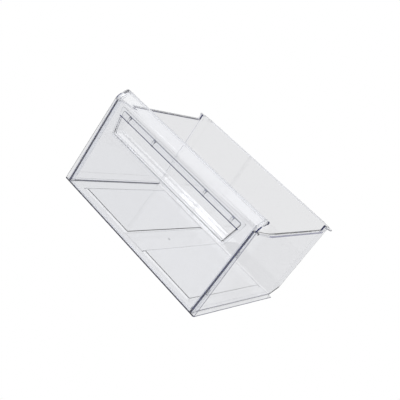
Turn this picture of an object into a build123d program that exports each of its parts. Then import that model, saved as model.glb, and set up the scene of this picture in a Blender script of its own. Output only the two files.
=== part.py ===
from build123d import *
import math
import os

# A clear plastic pull-out drawer for a fridge or freezer, in three mouldings:
# a tub that is open at its front, a front panel that closes it, and a finger pocket
# that snaps into the window of the panel.
#
# Millimetres. X runs across the drawer, Y from the front panel to the rear wall, Z up.
# While the mouldings are drawn, y = 0 is the outer face of the front panel and z = 0 is
# the shelf that the drawer stands on. They are written with the origin at the middle of
# the base of the whole drawer.

# --- driving dimensions of the tub -----------------------------------------------------
tub_base_width = 440.0      # over the side walls, at the floor
tub_rim_width = 448.0       # over the side walls, at the rim: they lean out for moulding
tub_rear = 383.0            # outer face of the rear wall
wall = 2.5                  # all walls and the floor of the tub
corner_radius = 4.5         # one outside radius along the floor, the foot and the rear corners

rim_height = 218.0          # top of the side rims
rear_height = 230.0         # top of the rear wall
front_drop = 7.5            # where they meet the panel, the side walls swing up to this far below its bend
rise_start = 8.0            # where the rise reaches its height, behind the panel
rise_end = 82.0             # where the rise leaves the level rim
rise_turn = 18.5            # the soft turns at both ends of the rise take this much of its length
step_y = 357.5              # where the rims step up to the raised rear corners
crest_height = 233.5        # top of the raised corners, at the step
crest_end = 376.0           # where they have sloped down to the rear wall's height
step_radius = 2.5           # both turns of the step

flare_width = 5.5           # behind the step, the side walls flare out this much up to the rear wall
flare_radius = 6.0          # outside turn between the flared walls and the rear wall

foot_y = 361.0              # rear end of the flat floor
foot_rise = 36.0            # height that the sloped rear foot gains
foot_radius = 8.0           # turns at both ends of the slope

rim_width = 6.0             # rim flange beyond the side walls
rear_rim_width = 4.0        # rim flange beyond the rear wall
rim_thickness = 2.5
lip_depth = 4.5             # the rim's outer edge turns down this far
lip_thickness = 2.0
ear_width = 16.0            # stop ears at the rear corners, beyond the side wall
ear_front = 371.0           # straight outer edge of an ear: its front end
ear_rear = 378.0            # and its rear end
ear_sweep = 35.0            # the rear edge sweeps forward to the ear over this much width
ear_radius = 2.5

runner_width = 10.0         # runner flange beyond the side wall, at the floor
runner_thickness = 2.5
runner_end = 359.0          # rear end of the runners

# --- raised floor pads -----------------------------------------------------------------
pad_height = 3.5            # the pads stand this much above the floor around them
pad_outer = 190.0           # foot of a pad's outer edge, from the middle of the drawer
pad_front = 28.5            # foot of the front edge
pad_rear = 355.0            # foot of the rear edge
channel_half_width = 29.5   # half of the channel between the pads, at its floor
pad_side_slope = 5.5        # what the outer sides slope in over the pad's height
pad_end_slope = 7.0         # what the ends slope in over the pad's height
channel_slope = 3.0         # what the channel's sides slope over the pad's height
pad_radius = 3.0            # plan corners of a pad
gate_y = 168.5              # moulding gate under the channel
gate_radius = 4.0
gate_depth = 0.6
gate_nub_radius = 1.5

# --- front panel -----------------------------------------------------------------------
panel_base_width = 460.0
panel_top_width = 456.0
panel_thickness = 2.8
panel_corner = 3.0          # corners of the panel, seen from the front
bend_height = 236.5         # where the panel bends back
lean_back = 21.0            # how far the leaning top goes back
lean_rise = 20.0            # and how far up
bend_radius = 18.0
nose_radius = 3.6           # turns of the rear return along the top edge
return_length = 8.0         # level part of the return
return_drop = 7.5           # down-turned part of the return

channel_depth = 10.0        # the panel's channels take in this much of the tub's front edge
tongue_thickness = 5.0      # thickened front edge of the tub's side walls, in the channels
rib_thickness = 2.0         # ribs of the channels
floor_rib_depth = 6.0       # rib over the front edge of the tub's floor
fit = 0.3                   # running clearance of the channels, on each side
seat_gap = 0.2              # between the panel's rear face and what stands against it

catch_heights = (62.0, 168.0)   # snap catches between tub and panel, on each side
catch_length = 14.0             # along the height
catch_depth = 4.0               # along the tub's depth
catch_proud = 1.4               # out of the side wall, into the rib's window
catch_inset = 5.0               # from the tub's front edge to the catch's middle

# --- finger window and pocket ----------------------------------------------------------
window_drop = 30.5          # the panel's lip: from the bend down to the window
window_height = 41.0
window_bottom_half = 182.0
window_lean = 9.0           # its ends lean out this much, from the bottom to the top
window_radius = 3.0
window_edge_radius = 1.2    # both faces' edges round the window
pocket_gap = 0.3            # pocket to the edge of the window

pocket_wall = 2.0
pocket_depth = 16.5         # outer face of the back wall, behind the panel's outer face
pocket_drop = 12.5          # from the panel's bend down to the top of the roof
roof_fall = 8.0             # the roof falls this much towards the back wall
ramp_steepness = 0.9        # rise of the ramp under the fingers, over its depth
hollow_radius = 10.0        # outside turn between ramp and back wall
roof_radius = 6.0           # outside turn between back wall and roof
end_draft = 5.0             # the closed ends lean in this much over the pocket's depth
end_radius = 5.0            # outside radius of the closed ends
flange_width = 5.5          # flat flange behind the panel, below and beside the mouth
flange_rise = 3.0           # the same flange above the roof, under the panel's bend
flange_thickness = 1.6

hook_places = (-168.0, -84.0, 84.0, 168.0)
hook_width = 5.0
hook_arm = 1.8              # thickness of the spring arm
hook_nose = 2.4             # height of the nose under the panel's lip
hook_reach = 1.8            # how far the nose reaches under the lip
hook_tip = 0.8              # height of the nose at its tip
gusset_drop = 8.0           # rib between arm and roof
gusset_run = 5.0

# --- what follows from them ------------------------------------------------------------
panel_back = panel_thickness + seat_gap          # front end of the tub
tub_half = tub_base_width / 2
side_lean = (tub_rim_width - tub_base_width) / 2 / rim_height
rim_half = tub_rim_width / 2 + rim_width
ear_half = tub_rim_width / 2 + ear_width
rim_front = panel_back + channel_depth + fit     # front end of the side rims, behind the channels
rear_edge = tub_rear + rear_rim_width
foot_run = tub_rear - foot_y
foot_slope = math.hypot(foot_run, foot_rise)
panel_top = bend_height + lean_rise
return_rear = lean_back + return_length
front_rise = bend_height - front_drop - rim_height
rise_angle = math.atan2(front_rise, rise_end - rise_start)
rise_radius = rise_turn / math.tan(rise_angle / 2)
window_top = bend_height - window_drop
window_bottom = window_top - window_height
window_top_half = window_bottom_half + window_lean
pocket_top = bend_height - pocket_drop
beyond = 20.0                                    # cutting shapes run past by this much
near = 1.0                                       # reach when an edge is looked for, or a cut overlaps


def side_half(height):
    """Outer face of the side wall: its distance from the middle at a height."""
    return tub_half + side_lean * height


def slab(low, high):
    """Box between two corners."""
    size = [b - a for a, b in zip(low, high)]
    middle = [(a + b) / 2 for a, b in zip(low, high)]
    return Pos(*middle) * Box(*size)


def across(face, left, right):
    """Extrude a side view, drawn in the YZ plane, from one x to another."""
    return Pos(left, 0, 0) * extrude(face, right - left)


def through(face, front, rear):
    """Extrude a front view, drawn in the XZ plane, from one y to another."""
    return Pos(0, rear, 0) * extrude(face, rear - front)


def closed_line(points, radius):
    """Closed outline through corners, sharp or with one radius for all or one for each."""
    if radius is None:
        return Polyline(*points, close=True)
    return FilletPolyline(*points, radius=radius, close=True)


def side_view(*points, radius=None):
    """Closed side view from its corners, given as (y, z)."""
    return Plane.YZ * make_face(closed_line(points, radius))


def front_view(*points, radius=None):
    """Closed front view from its corners, given as (x, z)."""
    return Plane.XZ * make_face(closed_line(points, radius))


def both_sides(solid):
    """A piece of the right side together with its mirror image."""
    return solid + mirror(solid, about=Plane.YZ)


def climbs(edge):
    """Whether an edge runs more up and down than along X or Y."""
    along = edge.tangent_at(0.5)
    return abs(along.Z) > max(abs(along.X), abs(along.Y))


# --- tub -------------------------------------------------------------------------------
def outer_view():
    """Side view of the tub: floor, sloped foot, rear wall, raised corner, rim, front rise.

    It runs on past the front, so that what is cut from it ends square there.
    """
    return side_view(
        (-beyond, 0), (foot_y, 0), (tub_rear, foot_rise), (tub_rear, rear_height),
        (crest_end, rear_height), (step_y, crest_height), (step_y, rim_height), (rise_end, rim_height),
        (rise_start, rim_height + front_rise), (-beyond, rim_height + front_rise),
        radius=[
            0, foot_radius, foot_radius, 0, 0, step_radius, step_radius, rise_radius, rise_radius, 0
        ],
    )


def inner_view():
    """Side view of the space inside the tub, open at the top and at the front."""
    rear = tub_rear - wall
    steepness = foot_rise / foot_run
    slope_shift = wall * foot_slope / foot_rise          # the slope's inner face, along Y
    floor_end = foot_y - slope_shift + wall / steepness
    rear_foot = (rear - foot_y + slope_shift) * steepness
    turn = foot_radius - wall
    return side_view(
        (-beyond, wall), (floor_end, wall), (rear, rear_foot),
        (rear, rear_height + beyond), (-beyond, rear_height + beyond),
        radius=[0, turn, turn, 0, 0],
    )


def rounded_block(view, inset, front):
    """Side view crossed with the leaning side walls, rounded along floor, foot and rear."""
    low, high = -beyond, rear_height + beyond
    section = front_view(
        (-side_half(low) + inset, low), (side_half(low) - inset, low),
        (side_half(high) - inset, high), (-side_half(high) + inset, high),
    )
    block = across(view, -side_half(high), side_half(high)) & through(section, front, rear_edge)
    rear = block.edges().filter_by(lambda e: e.center().Y > tub_rear - inset - near)
    return fillet(rear.filter_by(climbs), corner_radius - inset)


def flare(view, inset):
    """Wedge by which the right side wall flares out behind the step, or the space inside it."""
    slope = flare_width / (tub_rear - step_y)
    start, rear = tub_half - inset * math.hypot(1, slope), tub_rear - inset
    plan = make_face(closed_line(
        [(start, step_y), (start + slope * (rear - step_y), rear), (start - 2 * corner_radius, rear)],
        [0, flare_radius - inset, 0],
    ))
    length = (rear_height + beyond) * math.hypot(1, side_lean)
    return extrude(plan, length, dir=(side_lean, 0, 1)) & across(view, 0, ear_half)


def side_rim(view):
    """Rim flange with its down-turned lip. It follows the top of the wall up the step."""
    low, high = rim_height - lip_depth - near, crest_height + near
    keep = side_view((rim_front, low), (ear_rear, low), (ear_rear, high), (rim_front, high))
    flange = (view - offset(view, -rim_thickness)) & keep
    lip = (view - offset(view, -lip_depth)) & keep
    return (
        across(flange, side_half(rim_height) - wall, rim_half)
        + across(lip, rim_half - lip_thickness, rim_half)
    )


def rear_rim():
    """Rim of the rear wall with its down-turned lip, and a stop ear at each end."""
    sweep_half = ear_half - ear_sweep
    plan = FilletPolyline(
        (0, step_y), (rim_half, step_y), (ear_half, ear_front), (ear_half, ear_rear),
        (sweep_half, rear_edge), (0, rear_edge),
        radius=[0, ear_radius, ear_radius, ear_radius, ear_radius, 0], close=True,
    )
    flange = extrude(Pos(0, 0, rear_height) * make_face(plan), -rim_thickness)
    lip = slab(
        (-sweep_half, rear_edge - lip_thickness, rear_height - lip_depth),
        (sweep_half, rear_edge, rear_height),
    )
    return both_sides(flange) + lip


def runner():
    """Runner flange along the bottom of the right side wall."""
    inner = side_half(0) - corner_radius
    return slab((inner, panel_back, 0), (tub_half + runner_width, runner_end, runner_thickness))


def pad_form(foot_z, top_z):
    """One raised floor pad, on the right, with sloping sides."""
    def section(z, outer_slope, end_slope, inner_slope):
        left, right = channel_half_width + inner_slope, pad_outer - outer_slope
        front, rear = pad_front + end_slope, pad_rear - end_slope
        place = Pos((left + right) / 2, (front + rear) / 2, z)
        return place * RectangleRounded(right - left, rear - front, pad_radius)

    foot = section(foot_z, 0, 0, 0)
    top = section(top_z, pad_side_slope, pad_end_slope, channel_slope)
    return loft(Sketch() + [foot, top])


def tongue(view):
    """Thickened front edge of the right side wall, which the panel's channel takes in."""
    top = rear_height
    outline = front_view(
        (side_half(0) - corner_radius, 0), (side_half(0) - corner_radius / 2, 0),
        (side_half(corner_radius), corner_radius), (side_half(top), top),
        (side_half(top) - tongue_thickness, top), (side_half(0) - tongue_thickness, corner_radius),
    )
    return through(outline, panel_back, panel_back + channel_depth) & across(view, 0, rim_half)


def catches(proud, spare):
    """Snap catches on the right side wall or, with something to spare, their windows."""
    y = panel_back + catch_inset
    depth, length = catch_depth / 2 + spare, catch_length / 2 + spare
    return [
        slab(
            (side_half(z) - wall / 2, y - depth, z - length),
            (side_half(z) + proud, y + depth, z + length),
        )
        for z in catch_heights
    ]


def make_tub():
    """The tub: one moulding."""
    view, hollow = outer_view(), inner_view()
    tub = rounded_block(view, 0, panel_back) + both_sides(flare(view, 0) + side_rim(view) + runner())
    tub = tub + rear_rim() - rounded_block(hollow, wall, -beyond) - both_sides(flare(hollow, wall))
    tub = tub + both_sides(tongue(view))
    tub = tub + both_sides(pad_form(wall, wall + pad_height)) - both_sides(pad_form(0, pad_height))
    for catch in catches(catch_proud, 0):
        tub = tub + both_sides(catch)
    gate = Cylinder(gate_radius, gate_depth) - Cylinder(gate_nub_radius, gate_depth)
    return tub - Pos(0, gate_y, gate_depth / 2) * gate


# --- front panel -----------------------------------------------------------------------
def panel_plate():
    """Upright plate with its bend, leaning top and rear return, as one bent section."""
    line = FilletPolyline(
        (0, 0), (0, bend_height), (lean_back, panel_top), (return_rear, panel_top),
        (return_rear, panel_top - return_drop),
        radius=[bend_radius, nose_radius, nose_radius],
    )
    section = Plane.YZ * make_face(offset(line, panel_thickness, side=Side.RIGHT))
    return across(section, -panel_base_width / 2, panel_base_width / 2)


def panel_envelope():
    """All that the panel's front outline holds, from its face to the rear of its return."""
    outline = front_view(
        (-panel_base_width / 2, 0), (panel_base_width / 2, 0),
        (panel_top_width / 2, panel_top), (-panel_top_width / 2, panel_top),
        radius=panel_corner,
    )
    return through(outline, -beyond, return_rear + beyond)


def window_half(height):
    """Half width of the finger window at a height: its ends lean out, as the pocket's do."""
    return window_bottom_half + window_lean * (height - window_bottom) / window_height


def window_outline(inset):
    """Front view of the finger window, or of what sits inside it."""
    bottom, top = window_bottom + inset, window_top - inset
    low, high = window_half(bottom) - inset, window_half(top) - inset
    return front_view((-low, bottom), (low, bottom), (high, top), (-high, top), radius=window_radius)


def channel_rib(inner, outer, low):
    """Rib on the panel's rear and under its leaning top, between two distances from the side wall."""
    depth = panel_back + channel_depth
    view = side_view(
        (0, low), (0, bend_height), (lean_back, panel_top), (return_rear, panel_top),
        (return_rear, panel_top - return_drop), (depth, bend_height), (depth, low),
        radius=[0, bend_radius, nose_radius, nose_radius, 0, 0, 0],
    )
    outline = front_view(
        (side_half(low) + inner, low), (side_half(low) + outer, low),
        (side_half(panel_top) + outer, panel_top), (side_half(panel_top) + inner, panel_top),
    )
    return through(outline, 0, return_rear) & across(view, 0, panel_base_width / 2)


def make_front_panel():
    """The front panel: one moulding."""
    outer_rib = channel_rib(fit, fit + rib_thickness, runner_thickness + fit)
    for window in catches(fit + rib_thickness + near, fit):
        outer_rib = outer_rib - window
    inner_face = -tongue_thickness - fit
    inner_rib = channel_rib(inner_face - rib_thickness, inner_face, wall + corner_radius)
    floor_rib_half = side_half(0) - max(corner_radius, tongue_thickness) - fit
    floor_rib = slab(
        (-floor_rib_half, panel_thickness, wall + fit),
        (floor_rib_half, panel_back + floor_rib_depth, wall + fit + rib_thickness),
    )
    panel = panel_plate() + both_sides(outer_rib + inner_rib) + floor_rib
    panel = panel & panel_envelope()
    panel = panel - through(window_outline(0), -beyond, panel_back)
    low, high = window_bottom - near, window_top + near
    rims = panel.edges().filter_by(
        lambda e: low < e.center().Z < high and abs(e.center().X) < window_top_half + near
        and e.center().Y < panel_thickness + near
    )
    return fillet(rims.filter_by(lambda e: e.bounding_box().size.Y < near), window_edge_radius)


# --- finger pocket ---------------------------------------------------------------------
def roof_height(y, inset):
    """Height of the roof's outer face or, with the wall as inset, its inner face, at a depth."""
    fall = roof_fall / pocket_depth
    return pocket_top - inset * math.hypot(1, fall) - fall * y


def pocket_form(inset):
    """Outside of the pocket or, with the wall as inset, the space for the fingers."""
    mouth, back = (0 if inset == 0 else -beyond), pocket_depth - inset
    start = window_bottom + pocket_gap + inset * math.hypot(1, ramp_steepness)
    view = side_view(
        (mouth, start + mouth * ramp_steepness), (back, start + back * ramp_steepness),
        (back, roof_height(back, inset)), (mouth, roof_height(mouth, inset)),
        radius=[0, hollow_radius - inset, roof_radius - inset, 0],
    )
    bottom, top = window_bottom - 2 * beyond, pocket_top + beyond

    def outline(y):
        less = pocket_gap + inset + end_draft * y / pocket_depth
        low, high = window_half(bottom) - less, window_half(top) - less
        return Pos(0, y, 0) * front_view((-low, bottom), (low, bottom), (high, top), (-high, top))

    ends = loft(Sketch() + [outline(mouth), outline(back)])
    form = across(view, -tub_half, tub_half) & ends
    corners = form.edges().filter_by(lambda e: e.center().Y > back - near / 2)
    return fillet(corners.filter_by(climbs), end_radius - inset)


def hook(x):
    """Snap hook: a spring arm down from the roof, with a nose under the panel's lip."""
    arm_front, arm_rear = panel_back, panel_back + hook_arm
    top = window_top - pocket_gap
    nose = side_view(
        (arm_front - hook_reach, top), (arm_rear, top), (arm_rear, top - hook_nose),
        (arm_front - hook_reach, top - hook_tip),
    )
    gusset_rear, into = arm_rear + gusset_run, pocket_wall / 2
    arm = side_view(
        (arm_front, top), (arm_rear, top - hook_nose),
        (arm_rear, roof_height(arm_rear, pocket_wall) - gusset_drop),
        (gusset_rear, roof_height(gusset_rear, into)), (arm_front, roof_height(arm_front, into)),
    )
    return across(nose, x - hook_width / 2, x + hook_width / 2) + across(
        arm, x - hook_width / 2, x + hook_width / 2
    )


def make_grip_pocket():
    """The finger pocket: one moulding."""
    bottom, top = window_bottom - flange_width, pocket_top + flange_rise
    low, high = window_half(bottom) + flange_width, window_half(top) + flange_width
    flange = front_view((-low, bottom), (low, bottom), (high, top), (-high, top), radius=window_radius)
    in_panel = slab((-tub_half, -beyond, 0), (tub_half, panel_back, panel_top))
    in_panel = in_panel - through(window_outline(pocket_gap), -beyond, panel_back)
    pocket = pocket_form(0) - in_panel + through(flange, panel_back, panel_back + flange_thickness)
    pocket = pocket - pocket_form(pocket_wall)
    for x in hook_places:
        pocket = pocket + hook(x)
    return pocket


# --- the drawer ------------------------------------------------------------------------
pieces = {
    "tub": make_tub(),
    "front_panel": make_front_panel(),
    "grip_pocket": make_grip_pocket(),
}
os.makedirs("parts", exist_ok=True)
for name, piece in pieces.items():
    export_step(Pos(0, -rear_edge / 2, 0) * piece, f"parts/{name}.step")
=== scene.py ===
"""Looks of a clear pull-out drawer for a fridge or freezer.

Three clear mouldings stand on a pale floor: an open tub, the front panel that closes it, and the
finger pocket that snaps into the panel's window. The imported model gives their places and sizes.
Lengths are in metres, with X across the drawer, Y from the front panel to the rear wall and Z up.
"""

from __future__ import annotations

import logging
import math
from dataclasses import dataclass, field
from enum import Enum

import bmesh
import bpy
from mathutils import Matrix, Vector

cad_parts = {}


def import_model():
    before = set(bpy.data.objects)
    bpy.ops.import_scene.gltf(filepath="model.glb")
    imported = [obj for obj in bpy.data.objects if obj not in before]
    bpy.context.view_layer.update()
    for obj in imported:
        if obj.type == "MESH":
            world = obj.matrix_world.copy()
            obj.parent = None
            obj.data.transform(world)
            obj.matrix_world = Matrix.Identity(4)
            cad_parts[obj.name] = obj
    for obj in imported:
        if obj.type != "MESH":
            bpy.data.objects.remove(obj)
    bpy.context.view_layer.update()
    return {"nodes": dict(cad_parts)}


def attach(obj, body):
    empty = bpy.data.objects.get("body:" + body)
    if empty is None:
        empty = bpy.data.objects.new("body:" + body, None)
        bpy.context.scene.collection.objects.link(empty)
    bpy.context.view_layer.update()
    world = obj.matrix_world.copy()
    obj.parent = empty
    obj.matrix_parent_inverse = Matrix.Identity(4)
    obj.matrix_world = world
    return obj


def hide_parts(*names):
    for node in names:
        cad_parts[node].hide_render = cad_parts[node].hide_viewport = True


log = logging.getLogger("drawer")

MM = 0.001
BODY = "root"

POLYSTYRENE_IOR = 1.585
# Shares of a face's normal along an axis: it looks straight that way, or mostly that way.
STRAIGHT = 0.9
MOSTLY = 0.7
# Places of the colour sockets on a Mix node.
MIX_A, MIX_B, MIX_RESULT = 6, 7, 2

Color = tuple[float, float, float]
WHITE: Color = (1.0, 1.0, 1.0)
BLACK: Color = (0.0, 0.0, 0.0)


# --- node groups that the finishes share ------------------------------------------------------
@dataclass(frozen=True)
class Patterns:
    """Sizes of the patterns that every moulding shows.

    Scales are repeats per metre, and details are how many finer layers a noise has.

    Attributes:
        swell_scale: Slow swells of the faces.
        swell_detail: Their detail.
        line_scale: Fine flow lines.
        line_detail: Their detail.
        line_stretch: Stretch of the flow lines along each axis.
        line_share: Share of the flow lines in the relief.
        cloud_scale: Changes of the resin's colour.
        cloud_detail: Their detail.
        smudge_scale: Smudges from fingers.
        smudge_detail: Their detail.
        smudge_span: Noise at which smudges start, and at which they are full.
        hair_scale: Hair scratches.
        hair_turn: Turn of the scratches about each axis, in radians.
        hair_stretch: Stretch of the scratches along each axis.
        hair_width: Half the width of a scratch, in cells of its pattern.
        scratch_gain: Roughness that a scratch adds, in that of a smudge.
    """

    swell_scale: float = 14.0
    swell_detail: float = 1.0
    line_scale: float = 60.0
    line_detail: float = 2.0
    line_stretch: tuple[float, float, float] = (1.0, 0.12, 0.25)
    line_share: float = 0.15
    cloud_scale: float = 9.0
    cloud_detail: float = 2.0
    smudge_scale: float = 18.0
    smudge_detail: float = 4.0
    smudge_span: tuple[float, float] = (0.52, 0.72)
    hair_scale: float = 22.0
    hair_turn: tuple[float, float, float] = (0.4, 0.3, 0.9)
    hair_stretch: tuple[float, float, float] = (1.0, 14.0, 14.0)
    hair_width: float = 0.004
    scratch_gain: float = 2.0


PATTERNS = Patterns()


class Effect(Enum):
    """Shader node groups, each built once."""

    FLOW_RIPPLE = "flow_ripple"
    HANDLING = "handling_marks"
    CLOUD = "resin_cloud"


@dataclass
class EffectLibrary:
    """Builds the shader node groups and keeps them for every finish."""

    groups: dict[Effect, bpy.types.NodeTree] = field(default_factory=dict)

    def get(self, effect: Effect) -> bpy.types.NodeTree:
        """Gives a node group, and builds it the first time.

        Args:
            effect: The wanted effect.

        Returns:
            The node group.
        """
        if effect not in self.groups:
            build = {
                Effect.FLOW_RIPPLE: self.flow_ripple,
                Effect.HANDLING: self.handling,
                Effect.CLOUD: self.cloud,
            }[effect]
            self.groups[effect] = build()
        return self.groups[effect]

    def start(
        self, effect: Effect, inputs: dict[str, str], output: tuple[str, str]
    ) -> tuple[bpy.types.NodeTree, bpy.types.Node, bpy.types.Node]:
        """Makes an empty group with a Vector input, other inputs and one output.

        Args:
            effect: The effect that the group is for.
            inputs: Names and socket types of the other inputs.
            output: Name and socket type of the output.

        Returns:
            The group, its input node and its output node.
        """
        tree = bpy.data.node_groups.new(effect.value, "ShaderNodeTree")
        for name, kind in {"Vector": "NodeSocketVector", **inputs}.items():
            tree.interface.new_socket(name, in_out="INPUT", socket_type=kind)
        tree.interface.new_socket(output[0], in_out="OUTPUT", socket_type=output[1])
        return tree, tree.nodes.new("NodeGroupInput"), tree.nodes.new("NodeGroupOutput")

    def flow_ripple(self) -> bpy.types.NodeTree:
        """Slow swells of a moulded face, and fine flow lines along the melt's way.

        Returns:
            The group, whose output is a height between 0 and 1.
        """
        tree, given, out = self.start(
            Effect.FLOW_RIPPLE,
            dict.fromkeys(("Swell Scale", "Line Scale", "Lines"), "NodeSocketFloat"),
            ("Height", "NodeSocketFloat"),
        )
        nodes, links = tree.nodes, tree.links
        swell = nodes.new("ShaderNodeTexNoise")
        swell.inputs["Detail"].default_value = PATTERNS.swell_detail
        links.new(given.outputs["Vector"], swell.inputs["Vector"])
        links.new(given.outputs["Swell Scale"], swell.inputs["Scale"])
        stretch = nodes.new("ShaderNodeMapping")
        stretch.inputs["Scale"].default_value = PATTERNS.line_stretch
        links.new(given.outputs["Vector"], stretch.inputs["Vector"])
        lines = nodes.new("ShaderNodeTexNoise")
        lines.inputs["Detail"].default_value = PATTERNS.line_detail
        links.new(stretch.outputs["Vector"], lines.inputs["Vector"])
        links.new(given.outputs["Line Scale"], lines.inputs["Scale"])
        blend = nodes.new("ShaderNodeMix")
        links.new(given.outputs["Lines"], blend.inputs["Factor"])
        links.new(swell.outputs["Fac"], blend.inputs["A"])
        links.new(lines.outputs["Fac"], blend.inputs["B"])
        links.new(blend.outputs["Result"], out.inputs["Height"])
        return tree

    def handling(self) -> bpy.types.NodeTree:
        """Smudges from fingers and short hair scratches, as roughness.

        Returns:
            The group, whose output is a roughness.
        """
        tree, given, out = self.start(
            Effect.HANDLING,
            dict.fromkeys(("Clean", "Smudged", "Scratched"), "NodeSocketFloat"),
            ("Roughness", "NodeSocketFloat"),
        )
        nodes, links = tree.nodes, tree.links
        smudge = nodes.new("ShaderNodeTexNoise")
        smudge.inputs["Scale"].default_value = PATTERNS.smudge_scale
        smudge.inputs["Detail"].default_value = PATTERNS.smudge_detail
        links.new(given.outputs["Vector"], smudge.inputs["Vector"])
        patch = nodes.new("ShaderNodeMapRange")
        clean_below, smudged_above = PATTERNS.smudge_span
        patch.inputs["From Min"].default_value = clean_below
        patch.inputs["From Max"].default_value = smudged_above
        links.new(smudge.outputs["Fac"], patch.inputs["Value"])
        links.new(given.outputs["Clean"], patch.inputs["To Min"])
        links.new(given.outputs["Smudged"], patch.inputs["To Max"])
        turn = nodes.new("ShaderNodeMapping")
        turn.inputs["Rotation"].default_value = PATTERNS.hair_turn
        turn.inputs["Scale"].default_value = PATTERNS.hair_stretch
        links.new(given.outputs["Vector"], turn.inputs["Vector"])
        hair = nodes.new("ShaderNodeTexVoronoi")
        hair.feature = "DISTANCE_TO_EDGE"
        hair.inputs["Scale"].default_value = PATTERNS.hair_scale
        links.new(turn.outputs["Vector"], hair.inputs["Vector"])
        thin = nodes.new("ShaderNodeMath")
        thin.operation = "LESS_THAN"
        thin.inputs[1].default_value = PATTERNS.hair_width
        links.new(hair.outputs["Distance"], thin.inputs[0])
        strength = nodes.new("ShaderNodeMath")
        strength.operation = "MULTIPLY_ADD"
        links.new(thin.outputs["Value"], strength.inputs[0])
        links.new(given.outputs["Scratched"], strength.inputs[1])
        links.new(patch.outputs["Result"], strength.inputs[2])
        links.new(strength.outputs["Value"], out.inputs["Roughness"])
        return tree

    def cloud(self) -> bpy.types.NodeTree:
        """Faint changes of the resin's colour, from one named colour to another.

        Returns:
            The group, whose output is a colour.
        """
        tree, given, out = self.start(
            Effect.CLOUD,
            {"Scale": "NodeSocketFloat", "Thin": "NodeSocketColor", "Thick": "NodeSocketColor"},
            ("Color", "NodeSocketColor"),
        )
        nodes, links = tree.nodes, tree.links
        noise = nodes.new("ShaderNodeTexNoise")
        noise.inputs["Detail"].default_value = PATTERNS.cloud_detail
        links.new(given.outputs["Vector"], noise.inputs["Vector"])
        links.new(given.outputs["Scale"], noise.inputs["Scale"])
        mix = nodes.new("ShaderNodeMix")
        mix.data_type = "RGBA"
        links.new(noise.outputs["Fac"], mix.inputs["Factor"])
        links.new(given.outputs["Thin"], mix.inputs[MIX_A])
        links.new(given.outputs["Thick"], mix.inputs[MIX_B])
        links.new(mix.outputs[MIX_RESULT], out.inputs["Color"])
        return tree


EFFECTS = EffectLibrary()


# --- finishes ---------------------------------------------------------------------------------
class Polish(Enum):
    """How smooth a face is. The values are its roughness where clean and where smudged."""

    MIRROR = (0.006, 0.02)
    GROUND = (0.22, 0.32)


class Face(Enum):
    """Kinds of face on a moulding. The values are the places of their materials.

    Broad faces are clear. Narrow edges carry painted light in their colour, standing in for the
    light that has run along a plate:
    painted navy shade, a painted white highlight and, over the painted shade line of a rim, a
    painted hazy lavender shade.
    """

    BROAD = 0
    PAINTED_SHADE_EDGE = 1
    PAINTED_HIGHLIGHT_EDGE = 2
    PAINTED_SOFT_SHADE_EDGE = 3


@dataclass(frozen=True)
class Finish:
    """What every finish of the drawer shares: the resin's colours and its surface detail.

    Attributes:
        name: Name of the material.
        thin: Colour where the resin runs thin.
        thick: Colour where it runs thick.
        polish: How smooth the faces are.
        swell: Depth of the slow swells on the faces, in metres.
        seed: Shift of the patterns, so that no two mouldings match.
    """

    name: str
    thin: Color
    thick: Color
    polish: Polish
    swell: float
    seed: float

    def surface(self, material: bpy.types.Material) -> bpy.types.Node:
        """Wires colour, roughness and relief into a fresh Principled shader.

        Args:
            material: The material to fill.

        Returns:
            The shader node.
        """
        material.use_nodes = True
        nodes, links = material.node_tree.nodes, material.node_tree.links
        nodes.clear()
        shader = nodes.new("ShaderNodeBsdfPrincipled")
        where = nodes.new("ShaderNodeTexCoord")
        place = nodes.new("ShaderNodeMapping")
        place.inputs["Location"].default_value = (self.seed, self.seed / 2, self.seed / 3)
        links.new(where.outputs["Object"], place.inputs["Vector"])
        clean, smudged = self.polish.value
        settings = {
            Effect.FLOW_RIPPLE: {
                "Swell Scale": PATTERNS.swell_scale, "Line Scale": PATTERNS.line_scale,
                "Lines": PATTERNS.line_share,
            },
            Effect.HANDLING: {
                "Clean": clean, "Smudged": smudged, "Scratched": PATTERNS.scratch_gain * smudged,
            },
            Effect.CLOUD: {
                "Scale": PATTERNS.cloud_scale, "Thin": (*self.thin, 1), "Thick": (*self.thick, 1),
            },
        }
        placed = {}
        for effect, values in settings.items():
            placed[effect] = nodes.new("ShaderNodeGroup")
            placed[effect].node_tree = EFFECTS.get(effect)
            links.new(place.outputs["Vector"], placed[effect].inputs["Vector"])
            for name, value in values.items():
                placed[effect].inputs[name].default_value = value
        relief = nodes.new("ShaderNodeBump")
        relief.inputs["Distance"].default_value = self.swell
        relief.inputs["Strength"].default_value = 1.0
        shader.inputs["IOR"].default_value = POLYSTYRENE_IOR
        links.new(placed[Effect.FLOW_RIPPLE].outputs["Height"], relief.inputs["Height"])
        links.new(relief.outputs["Normal"], shader.inputs["Normal"])
        links.new(placed[Effect.CLOUD].outputs["Color"], shader.inputs["Base Color"])
        links.new(placed[Effect.HANDLING].outputs["Roughness"], shader.inputs["Roughness"])
        return shader


@dataclass(frozen=True)
class ClearResin(Finish):
    """Clear polystyrene: a refracting surface over a faintly tinted body.

    Attributes:
        tint: Colour that the body lets through.
        density: How strongly the body absorbs, per metre.
    """

    tint: Color = (0.24, 0.30, 0.54)
    density: float = 18.0

    def material(self) -> bpy.types.Material:
        """Builds the material.

        Returns:
            The finished material.
        """
        material = bpy.data.materials.new(self.name)
        shader = self.surface(material)
        nodes, links = material.node_tree.nodes, material.node_tree.links
        shader.inputs["Transmission Weight"].default_value = 1.0
        body = nodes.new("ShaderNodeVolumeAbsorption")
        body.inputs["Color"].default_value = (*self.tint, 1)
        body.inputs["Density"].default_value = self.density
        output = nodes.new("ShaderNodeOutputMaterial")
        links.new(shader.outputs["BSDF"], output.inputs["Surface"])
        links.new(body.outputs["Volume"], output.inputs["Volume"])
        return material


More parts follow.
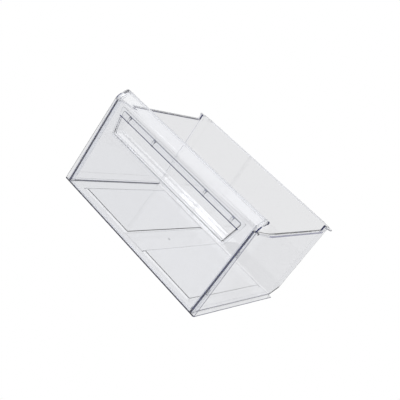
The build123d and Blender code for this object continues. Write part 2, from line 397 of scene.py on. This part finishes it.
@dataclass(frozen=True)
class PaintedEdgeLight(Finish):
    """Narrow edge of a clear plate, with painted light and shade in its colour that stands in for
    the light that has run along the whole plate.

    Attributes:
        clearness: How much light still comes through.
    """

    clearness: float

    def material(self) -> bpy.types.Material:
        """Builds the material.

        Returns:
            The finished material.
        """
        material = bpy.data.materials.new(self.name)
        shader = self.surface(material)
        shader.inputs["Transmission Weight"].default_value = self.clearness
        output = material.node_tree.nodes.new("ShaderNodeOutputMaterial")
        material.node_tree.links.new(shader.outputs["BSDF"], output.inputs["Surface"])
        return material


TUB_RESIN = ClearResin(
    "tub_clear", WHITE, (0.985, 0.985, 0.99), Polish.MIRROR, swell=0.01 * MM, seed=0.0
)
PANEL_RESIN = ClearResin(
    "panel_clear", WHITE, (0.985, 0.99, 0.995), Polish.MIRROR, swell=0.008 * MM, seed=3.1
)
POCKET_RESIN = ClearResin(
    "pocket_clear", WHITE, (0.99, 0.995, 1.0), Polish.MIRROR, swell=0.006 * MM, seed=7.7
)
# Finishes for the narrow edges, each with painted light in its colour.
PAINTED_EDGE_FINISHES = {
    # Navy painted shade, standing in for the dark lines where light bends at an edge.
    Face.PAINTED_SHADE_EDGE: PaintedEdgeLight(
        "edge_painted_shade", (0.005, 0.010, 0.10), (0.012, 0.02, 0.15), Polish.GROUND,
        swell=0.01 * MM, seed=1.3, clearness=0.15,
    ),
    # White painted highlight for the edges of the window.
    Face.PAINTED_HIGHLIGHT_EDGE: PaintedEdgeLight(
        "edge_painted_highlight", (0.95, 0.96, 0.98), (0.97, 0.98, 1.0), Polish.GROUND,
        swell=0.01 * MM, seed=5.9, clearness=0.1,
    ),
    # Lavender painted soft shade, for a rim's outer face above its painted shade line.
    Face.PAINTED_SOFT_SHADE_EDGE: PaintedEdgeLight(
        "edge_painted_soft_shade", (0.42, 0.42, 0.62), (0.46, 0.46, 0.66), Polish.GROUND,
        swell=0.01 * MM, seed=2.7, clearness=0.3,
    ),
}


# --- mouldings --------------------------------------------------------------------------------
@dataclass
class Moulding:
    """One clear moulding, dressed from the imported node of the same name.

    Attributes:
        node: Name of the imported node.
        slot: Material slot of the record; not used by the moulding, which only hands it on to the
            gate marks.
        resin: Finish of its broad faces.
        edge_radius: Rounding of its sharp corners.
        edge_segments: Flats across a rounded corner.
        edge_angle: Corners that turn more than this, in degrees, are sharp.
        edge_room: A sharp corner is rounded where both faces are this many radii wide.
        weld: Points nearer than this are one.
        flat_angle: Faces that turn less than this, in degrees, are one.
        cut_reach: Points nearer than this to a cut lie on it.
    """

    node: str
    slot: str
    resin: ClearResin
    edge_radius: float = 0.3 * MM
    edge_segments: int = 2
    edge_angle: float = 20.0
    edge_room: float = 4.0
    weld: float = 0.002 * MM
    flat_angle: float = 0.2
    cut_reach: float = 0.001 * MM

    def cuts(self) -> tuple[tuple[str, float], ...]:
        """Gives the planes that part narrow bands of painted shade from broad faces, as axis and
        place.
        """
        return ()

    def kind(self, at: Vector, facing: Vector) -> Face:
        """Tells broad faces from narrow edges, which get painted shade and painted highlight.

        Args:
            at: Middle of the face.
            facing: Its normal.

        Returns:
            The kind of the face.
        """
        return Face.BROAD

    def mesh(self, source: bpy.types.Object) -> bpy.types.Object:
        """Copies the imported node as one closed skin, sorts its faces and rounds its corners.

        Args:
            source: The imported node's object.

        Returns:
            The new object.
        """
        skin = bmesh.new()
        skin.from_mesh(source.data)
        bmesh.ops.remove_doubles(skin, verts=skin.verts, dist=self.weld)
        flat = math.radians(self.flat_angle)
        bmesh.ops.dissolve_limit(skin, angle_limit=flat, verts=skin.verts, edges=skin.edges)
        bmesh.ops.connect_verts_concave(skin, faces=skin.faces)
        for axis, place in self.cuts():
            across = Vector([float(axis == name) for name in "xyz"])
            bmesh.ops.bisect_plane(
                skin, geom=[*skin.verts, *skin.edges, *skin.faces], dist=self.cut_reach,
                plane_co=across * place, plane_no=across,
            )
        weight = skin.edges.layers.float.new("bevel_weight_edge")
        sharp = math.radians(self.edge_angle)
        for edge in skin.edges:
            if len(edge.link_faces) != 2 or edge.calc_face_angle(0) < sharp:
                continue
            edge.smooth = False
            room = min(face.calc_area() for face in edge.link_faces) / edge.calc_length()
            if room > self.edge_room * self.edge_radius:
                edge[weight] = 1.0
        for face in skin.faces:
            face.smooth = True
            face.material_index = self.kind(face.calc_center_median(), face.normal).value
        data = bpy.data.meshes.new(f"{self.node}_moulding")
        skin.to_mesh(data)
        skin.free()
        piece = bpy.data.objects.new(f"{self.node}_moulding", data)
        bpy.context.scene.collection.objects.link(piece)
        bevel = piece.modifiers.new("edges", "BEVEL")
        bevel.width = self.edge_radius
        bevel.segments = self.edge_segments
        bevel.limit_method = "WEIGHT"
        bevel.use_clamp_overlap = False
        bevel.harden_normals = False
        weigh = piece.modifiers.new("shading", "WEIGHTED_NORMAL")
        weigh.keep_sharp = True
        return piece

    def dress(
        self, source: bpy.types.Object, edges: dict[Face, bpy.types.Material]
    ) -> bpy.types.Object:
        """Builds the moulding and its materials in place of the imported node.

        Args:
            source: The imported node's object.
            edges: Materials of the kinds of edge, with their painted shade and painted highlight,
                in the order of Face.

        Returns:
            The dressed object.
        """
        piece = self.mesh(source)
        for material in (self.resin.material(), *edges.values()):
            piece.data.materials.append(material)
        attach(piece, BODY)
        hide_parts(self.node)
        log.info("%s: %d faces", piece.name, len(piece.data.polygons))
        return piece


@dataclass
class Tub(Moulding):
    """The open tub, with its rims, stop ears, runners and sloped foot.

    Attributes:
        front: Place of the front edge, along Y.
        front_reach: How near to it a face belongs to the front edge.
        step: Place of the rims' step at the stop ears, along Y.
        step_reach: How near to it a face belongs to the step.
        step_low: Lowest middle of a face of the step.
        riser_half: The step's riser gets painted shade within this distance from the middle.
        rim_band: Heights between which a face may belong to a rim's lip.
        lip_band: Distances from the middle between which it does.
        lip_line: Height of the top of the painted shade line along a lip.
        foot: Where the sloped foot starts, along Y.
        foot_top: Height of the top of the sloped foot.
        foot_corner: Shares of the normal along X that mark the foot's rounded corners.
        foot_under: Share of the normal along Z below which such a corner looks down and gets
            painted shade.
        line_top: Height of the top of the painted shade lines along wall and runner.
        wall_low: Height above which a face belongs to the wall and not to the runner.
        wall_side: Distance from the middle beyond which it does.
        runner_side: Distance from the middle beyond which a face ends the runner.
        gate: Where the melt entered, on the floor of the channel.
    """

    front: float = -190.5 * MM
    front_reach: float = 0.3 * MM
    step: float = 164.0 * MM
    step_reach: float = 4.0 * MM
    step_low: float = 217.0 * MM
    riser_half: float = 226.0 * MM
    rim_band: tuple[float, float] = (212.5 * MM, 218.1 * MM)
    lip_band: tuple[float, float] = (227.8 * MM, 231.0 * MM)
    lip_line: float = 214.5 * MM
    foot: float = 168.0 * MM
    foot_top: float = 38.0 * MM
    foot_corner: tuple[float, float] = (0.4, 0.85)
    foot_under: float = -0.2
    line_top: float = 4.8 * MM
    wall_low: float = 2.4 * MM
    wall_side: float = 219.4 * MM
    runner_side: float = 229.8 * MM
    gate: tuple[float, float, float] = (0.0, -25.0 * MM, 2.5 * MM)

    def cuts(self) -> tuple[tuple[str, float], ...]:
        """Gives the planes at the tops of the painted shade lines and at the ends of the risers.

        Returns:
            The planes, as axis and place.
        """
        return (
            ("z", self.lip_line), ("z", self.line_top),
            ("x", -self.riser_half), ("x", self.riser_half),
        )

    def kind(self, at: Vector, facing: Vector) -> Face:
        """Picks the faces with painted shade: the front edge, the risers of the steps and lines
        along rims, foot and runners.

        Args:
            at: Middle of the face.
            facing: Its normal.

        Returns:
            The kind of the face.
        """
        outward = facing.x * at.x > 0 and abs(facing.x) > MOSTLY
        side = abs(at.x)
        # The faces picked below get painted navy shade in their colour.
        if abs(at.y - self.front) < self.front_reach:
            return Face.PAINTED_SHADE_EDGE if facing.y < -STRAIGHT else Face.BROAD
        if at.z > self.step_low and abs(at.y - self.step) < self.step_reach:
            # Painted shade on the middle of the step's riser.
            dark = facing.y < -MOSTLY and side < self.riser_half
            return Face.PAINTED_SHADE_EDGE if dark else Face.BROAD
        if self.rim_band[0] < at.z < self.rim_band[1]:
            if not self.lip_band[0] < side < self.lip_band[1]:
                return Face.BROAD
            if facing.y < -STRAIGHT or (outward and at.z < self.lip_line):
                return Face.PAINTED_SHADE_EDGE
            # Above the painted shade line, a rim's outer face gets painted lavender shade.
            return Face.PAINTED_SOFT_SHADE_EDGE if outward else Face.BROAD
        corner = self.foot_corner[0] < abs(facing.x) < self.foot_corner[1]
        if at.y > self.foot and at.z < self.foot_top and corner:
            return Face.PAINTED_SHADE_EDGE if facing.z < self.foot_under else Face.BROAD
        if at.z < self.line_top and outward:
            wall = side > self.wall_side and at.z > self.wall_low
            return Face.PAINTED_SHADE_EDGE if wall or side > self.runner_side else Face.BROAD
        return Face.BROAD


@dataclass
class FrontPanel(Moulding):
    """The bent front panel with its finger window and channels.

    Attributes:
        end_side: Distance from the middle beyond which a face ends the plate.
        dark_top: Height up to which the plate's ends get painted shade.
        foot_top: Height below which a face belongs to the underside.
        bend: Height at which the leaning top starts.
        strip_side: Its front gets painted shade beyond this distance from the middle.
        strip_lean: Shares of the normal along Z that mark the leaning front.
        dot_side: The top corners get painted shade beyond this distance from the middle.
        dot_low: Lowest middle of a face of a top corner.
        dot_front: The top corners lie behind this place, along Y.
        lip_low: Height of the lip over the window.
        lip_line: Height of the top of the painted shade line along the lip.
        lip_half: The line ends at this distance from the middle.
        cut_half: Distance from the middle of the cuts beside the line.
        lip_under: Share of the normal along Z below which a face of the lip looks down.
        back: Faces of the lip lie in front of this place, along Y.
        window_side: Distance from the middle beyond which no face belongs to the window.
        window_low: Height of the window's lower edge.
        window_top: Height of its upper edge.
        window_back: Faces of the window's edge lie in front of this place, along Y.
        plate_facing: Share of the normal along Y from which a face is the plate's own.
    """

    end_side: float = 227.2 * MM
    dark_top: float = 244.0 * MM
    foot_top: float = 0.1 * MM
    bend: float = 229.0 * MM
    strip_side: float = 225.8 * MM
    strip_lean: tuple[float, float] = (0.1, 0.95)
    dot_side: float = 225.4 * MM
    dot_low: float = 248.9 * MM
    dot_front: float = -171.5 * MM
    lip_low: float = 205.9 * MM
    lip_line: float = 208.2 * MM
    lip_half: float = 192.5 * MM
    cut_half: float = 193.5 * MM
    lip_under: float = -0.05
    back: float = -190.7 * MM
    window_side: float = 204.5 * MM
    window_low: float = 162.0 * MM
    window_top: float = 206.0 * MM
    window_back: float = -190.4 * MM
    plate_facing: float = 0.97

    def cuts(self) -> tuple[tuple[str, float], ...]:
        """Gives the planes round the painted shade line of the lip and at the plate's ends with
        painted shade.

        Returns:
            The planes, as axis and place.
        """
        return (
            ("z", self.lip_line), ("z", self.dark_top),
            ("x", -self.cut_half), ("x", self.cut_half),
            ("x", -self.strip_side), ("x", self.strip_side),
        )

    def kind(self, at: Vector, facing: Vector) -> Face:
        """Picks the faces with painted shade, the plate's ends and underside and the lip's line,
        and the edge of the window, which gets a painted white highlight.

        Args:
            at: Middle of the face.
            facing: Its normal.

        Returns:
            The kind of the face.
        """
        side = abs(at.x)
        leaning = self.strip_lean[0] < facing.z < self.strip_lean[1]
        on_lip = side < self.lip_half and self.lip_low < at.z < self.lip_line
        under_or_front = facing.z < self.lip_under or facing.y < -STRAIGHT
        on_window = side < self.window_side and self.window_low < at.z < self.window_top
        # These faces get painted navy shade.
        if (
            (side > self.end_side and abs(facing.x) > STRAIGHT and at.z < self.dark_top)
            or (side > self.dot_side and at.z > self.dot_low and at.y > self.dot_front)
            or (side > self.strip_side and self.bend < at.z < self.dark_top and leaning)
            or (at.z < self.foot_top and facing.z < -STRAIGHT)
            or (on_lip and at.y < self.back and under_or_front)
        ):
            return Face.PAINTED_SHADE_EDGE
        # The window's edge gets a painted white highlight.
        if on_window and at.y < self.window_back and abs(facing.y) < self.plate_facing:
            return Face.PAINTED_HIGHLIGHT_EDGE
        return Face.BROAD


@dataclass
class GripPocket(Moulding):
    """The finger pocket with its four snap hooks.

    Attributes:
        hook_low: Height above which a face may belong to a hook.
        hook_side: Distance from the middle within which it does.
    """

    hook_low: float = 205.0 * MM
    hook_side: float = 178.0 * MM

    def kind(self, at: Vector, facing: Vector) -> Face:
        """Picks the sides of the hooks, which get painted shade."""
        hook = at.z > self.hook_low and abs(at.x) < self.hook_side
        return Face.PAINTED_SHADE_EDGE if hook and abs(facing.x) > STRAIGHT else Face.BROAD


# --- gate marks -------------------------------------------------------------------------------
@dataclass
class GateMarks:
    """Small nubs where the melt entered a moulding.

    Attributes:
        name: Name of the piece.
        slot: Material slot of the record; not used.
        at: Where the nubs stand.
        radius: Radius of a nub's foot.
        height: Height of a nub.
        taper: Radius of its top, in that of its foot.
        sides: Corners round a nub.
    """

    name: str
    slot: str
    at: list[Vector]
    radius: float = 1.5 * MM
    height: float = 0.5 * MM
    taper: float = 0.6
    sides: int = 24

    def tree(self) -> bpy.types.NodeTree:
        """Builds the geometry node tree that puts a tapered nub on every point.

        Returns:
            The tree.
        """
        tree = bpy.data.node_groups.new(f"{self.name}_tree", "GeometryNodeTree")
        sockets = tree.interface.new_socket
        sockets("Geometry", in_out="INPUT", socket_type="NodeSocketGeometry")
        sockets("Radius", in_out="INPUT", socket_type="NodeSocketFloat")
        sockets("Height", in_out="INPUT", socket_type="NodeSocketFloat")
        sockets("Finish", in_out="INPUT", socket_type="NodeSocketMaterial")
        sockets("Geometry", in_out="OUTPUT", socket_type="NodeSocketGeometry")
        nodes, links = tree.nodes, tree.links
        given, out = nodes.new("NodeGroupInput"), nodes.new("NodeGroupOutput")
        taper = nodes.new("ShaderNodeMath")
        taper.operation = "MULTIPLY"
        taper.inputs[1].default_value = self.taper
        links.new(given.outputs["Radius"], taper.inputs[0])
        nub = nodes.new("GeometryNodeMeshCone")
        nub.inputs["Vertices"].default_value = self.sides
        links.new(taper.outputs["Value"], nub.inputs["Radius Top"])
        links.new(given.outputs["Radius"], nub.inputs["Radius Bottom"])
        links.new(given.outputs["Height"], nub.inputs["Depth"])
        points = nodes.new("GeometryNodeMeshToPoints")
        links.new(given.outputs["Geometry"], points.inputs["Mesh"])
        place = nodes.new("GeometryNodeInstanceOnPoints")
        links.new(points.outputs["Points"], place.inputs["Points"])
        links.new(nub.outputs["Mesh"], place.inputs["Instance"])
        realize = nodes.new("GeometryNodeRealizeInstances")
        links.new(place.outputs["Instances"], realize.inputs["Geometry"])
        finish = nodes.new("GeometryNodeSetMaterial")
        links.new(realize.outputs["Geometry"], finish.inputs["Geometry"])
        links.new(given.outputs["Finish"], finish.inputs["Material"])
        links.new(finish.outputs["Geometry"], out.inputs["Geometry"])
        return tree

    def dress(self, finish: bpy.types.Material) -> bpy.types.Object:
        """Builds the nubs as one plain mesh.

        Args:
            finish: Their material.

        Returns:
            The finished piece.
        """
        seeds = bpy.data.meshes.new(f"{self.name}_points")
        seeds.from_pydata([tuple(point) for point in self.at], [], [])
        carrier = bpy.data.objects.new(f"{self.name}_carrier", seeds)
        bpy.context.scene.collection.objects.link(carrier)
        modifier = carrier.modifiers.new("nubs", "NODES")
        modifier.node_group = self.tree()
        values = {"Radius": self.radius, "Height": self.height, "Finish": finish}
        for socket in modifier.node_group.interface.items_tree:
            if socket.in_out == "INPUT" and socket.name in values:
                modifier[socket.identifier] = values[socket.name]
        graph = bpy.context.evaluated_depsgraph_get()
        data = bpy.data.meshes.new_from_object(carrier.evaluated_get(graph))
        data.name = self.name
        bpy.data.objects.remove(carrier)
        piece = bpy.data.objects.new(self.name, data)
        bpy.context.scene.collection.objects.link(piece)
        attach(piece, BODY)
        log.info("%s: %d faces", piece.name, len(data.polygons))
        return piece


# --- studio -----------------------------------------------------------------------------------
@dataclass(frozen=True)
class SoftBox:
    """One rectangular lamp that shines at the drawer.

    Attributes:
        name: Name of the lamp.
        at: Where it hangs.
        size: Its width and height.
        radiance: How bright its face is.
    """

    name: str
    at: tuple[float, float, float]
    size: tuple[float, float]
    radiance: float

    def hang(self) -> None:
        """Builds the lamp."""
        width, height = self.size
        data = bpy.data.lights.new(self.name, "AREA")
        data.shape = "RECTANGLE"
        data.size, data.size_y = width, height
        data.energy = self.radiance * math.pi * width * height
        lamp = bpy.data.objects.new(self.name, data)
        lamp.location = self.at
        lamp.rotation_euler = (-Vector(self.at)).to_track_quat("-Z", "Y").to_euler()
        bpy.context.scene.collection.objects.link(lamp)


@dataclass
class Studio:
    """Pale floor, soft light and the camera at the photograph's angle.

    Attributes:
        camera_at: Where the camera stands.
        aim: What it looks at.
        roll: Its turn about its own axis, in degrees.
        lens: Its focal length, in millimetres.
        sensor: Width of its sensor, in millimetres.
        floor_size: Side of the square floor.
        floor_drop: How far the floor lies below the drawer.
        floor_roughness: Roughness of the floor.
        floor_glow: Brightness of the floor where the drawer mirrors it or lets it through. Where
            the camera sees it straight, it is 1.
        sweep_depth: Shares of a direction along Y over which the sweep fades in, to the rear.
        sweep_height: Shares of a direction along Z over which it fades in, downwards.
        dark: Colour of the room outside the sweep.
        pale: Colour of the sweep.
        bounces: Most turns of a ray of light, and most passes through a surface.
        glossy_bounces: Most times that it is mirrored.
        lamps: The lamps.
    """

    camera_at: Vector = field(default_factory=lambda: Vector((0.6816, -1.4215, 0.6837)))
    aim: Vector = field(default_factory=lambda: Vector((-0.0058, -0.0008, 0.1200)))
    roll: float = 35.31
    lens: float = 63.52
    sensor: float = 36.0
    floor_size: float = 40.0
    floor_drop: float = 0.05 * MM
    floor_roughness: float = 0.9
    floor_glow: float = 0.83
    sweep_depth: tuple[float, float] = (-0.1, 0.5)
    sweep_height: tuple[float, float] = (0.75, 0.45)
    dark: Color = (0.04, 0.04, 0.07)
    pale: Color = (0.85, 0.85, 0.85)
    bounces: int = 32
    glossy_bounces: int = 16
    lamps: tuple[SoftBox, ...] = (
        SoftBox("softbox", at=(-0.65, -0.4, 1.6), size=(1.6, 1.9), radiance=1.8),
        SoftBox("front_strip", at=(-1.15, -2.2, 1.1), size=(0.8, 1.5), radiance=1.6),
    )

    def camera(self) -> None:
        """Places the camera, rolled as the photograph is."""
        data = bpy.data.cameras.new("camera")
        data.lens = self.lens
        data.sensor_width = self.sensor
        camera = bpy.data.objects.new("camera", data)
        turn = (self.aim - self.camera_at).to_track_quat("-Z", "Y").to_matrix().to_4x4()
        roll = Matrix.Rotation(math.radians(self.roll), 4, "Z")
        camera.matrix_world = Matrix.Translation(self.camera_at) @ turn @ roll
        bpy.context.scene.collection.objects.link(camera)
        bpy.context.scene.camera = camera

    def floor(self) -> None:
        """Lays the pale floor just under the drawer. It glows, so no lamp marks it."""
        skin = bmesh.new()
        bmesh.ops.create_grid(skin, x_segments=1, y_segments=1, size=self.floor_size / 2)
        data = bpy.data.meshes.new("floor")
        skin.to_mesh(data)
        skin.free()
        floor = bpy.data.objects.new("floor", data)
        floor.location.z = -self.floor_drop
        bpy.context.scene.collection.objects.link(floor)
        material = bpy.data.materials.new("pale_floor")
        material.use_nodes = True
        nodes, links = material.node_tree.nodes, material.node_tree.links
        shader = nodes["Principled BSDF"]
        shader.inputs["Base Color"].default_value = (*BLACK, 1)
        shader.inputs["Roughness"].default_value = self.floor_roughness
        shader.inputs["Specular IOR Level"].default_value = 0.0
        shader.inputs["Emission Color"].default_value = (*WHITE, 1)
        path = nodes.new("ShaderNodeLightPath")
        glow = nodes.new("ShaderNodeMapRange")
        glow.inputs["To Min"].default_value = self.floor_glow
        glow.inputs["To Max"].default_value = 1.0
        links.new(path.outputs["Is Camera Ray"], glow.inputs["Value"])
        links.new(glow.outputs["Result"], shader.inputs["Emission Strength"])
        data.materials.append(material)

    def world(self) -> None:
        """Fills the room: a pale sweep low behind the drawer, and dark elsewhere.

        Only light on its way sees that room. The camera itself sees plain white.
        """
        world = bpy.data.worlds.new("room")
        world.use_nodes = True
        nodes, links = world.node_tree.nodes, world.node_tree.links
        background = nodes["Background"]
        background.inputs["Strength"].default_value = 1.0
        where = nodes.new("ShaderNodeTexCoord")
        split = nodes.new("ShaderNodeSeparateXYZ")
        links.new(where.outputs["Generated"], split.inputs["Vector"])
        both = nodes.new("ShaderNodeMath")
        both.operation = "MULTIPLY"
        for place, (axis, span) in enumerate((("Y", self.sweep_depth), ("Z", self.sweep_height))):
            fade = nodes.new("ShaderNodeMapRange")
            fade.interpolation_type = "SMOOTHSTEP"
            fade.inputs["From Min"].default_value = span[0]
            fade.inputs["From Max"].default_value = span[1]
            links.new(split.outputs[axis], fade.inputs["Value"])
            links.new(fade.outputs["Result"], both.inputs[place])
        tone = nodes.new("ShaderNodeMix")
        tone.data_type = "RGBA"
        tone.inputs[MIX_A].default_value = (*self.dark, 1)
        tone.inputs[MIX_B].default_value = (*self.pale, 1)
        links.new(both.outputs["Value"], tone.inputs["Factor"])
        path = nodes.new("ShaderNodeLightPath")
        seen = nodes.new("ShaderNodeMix")
        seen.data_type = "RGBA"
        seen.inputs[MIX_B].default_value = (*WHITE, 1)
        links.new(path.outputs["Is Camera Ray"], seen.inputs["Factor"])
        links.new(tone.outputs[MIX_RESULT], seen.inputs[MIX_A])
        links.new(seen.outputs[MIX_RESULT], background.inputs["Color"])
        bpy.context.scene.world = world

    def build(self) -> None:
        """Builds the whole studio."""
        self.floor()
        self.world()
        for lamp in self.lamps:
            lamp.hang()
        self.camera()
        scene = bpy.context.scene
        scene.view_settings.view_transform = "Standard"
        scene.cycles.max_bounces = self.bounces
        scene.cycles.transmission_bounces = self.bounces
        scene.cycles.glossy_bounces = self.glossy_bounces


# --- the drawer -------------------------------------------------------------------------------
def main() -> None:
    """Dresses the three mouldings, adds the gate mark and builds the studio round them."""
    logging.basicConfig(level=logging.INFO, format="%(name)s: %(message)s")
    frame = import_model()
    edges = {face: finish.material() for face, finish in PAINTED_EDGE_FINISHES.items()}
    tub = Tub("tub", "clear_tub", TUB_RESIN)
    panel = FrontPanel("front_panel", "clear_panel", PANEL_RESIN)
    pocket = GripPocket("grip_pocket", "clear_pocket", POCKET_RESIN)
    for moulding in (tub, panel, pocket):
        moulding.dress(frame["nodes"][moulding.node], edges)
    # The gate nubs take the painted navy shade of the edges.
    GateMarks("gate_marks", tub.slot, [Vector(tub.gate)]).dress(edges[Face.PAINTED_SHADE_EDGE])
    Studio().build()


if __name__ == "__main__":
    main()
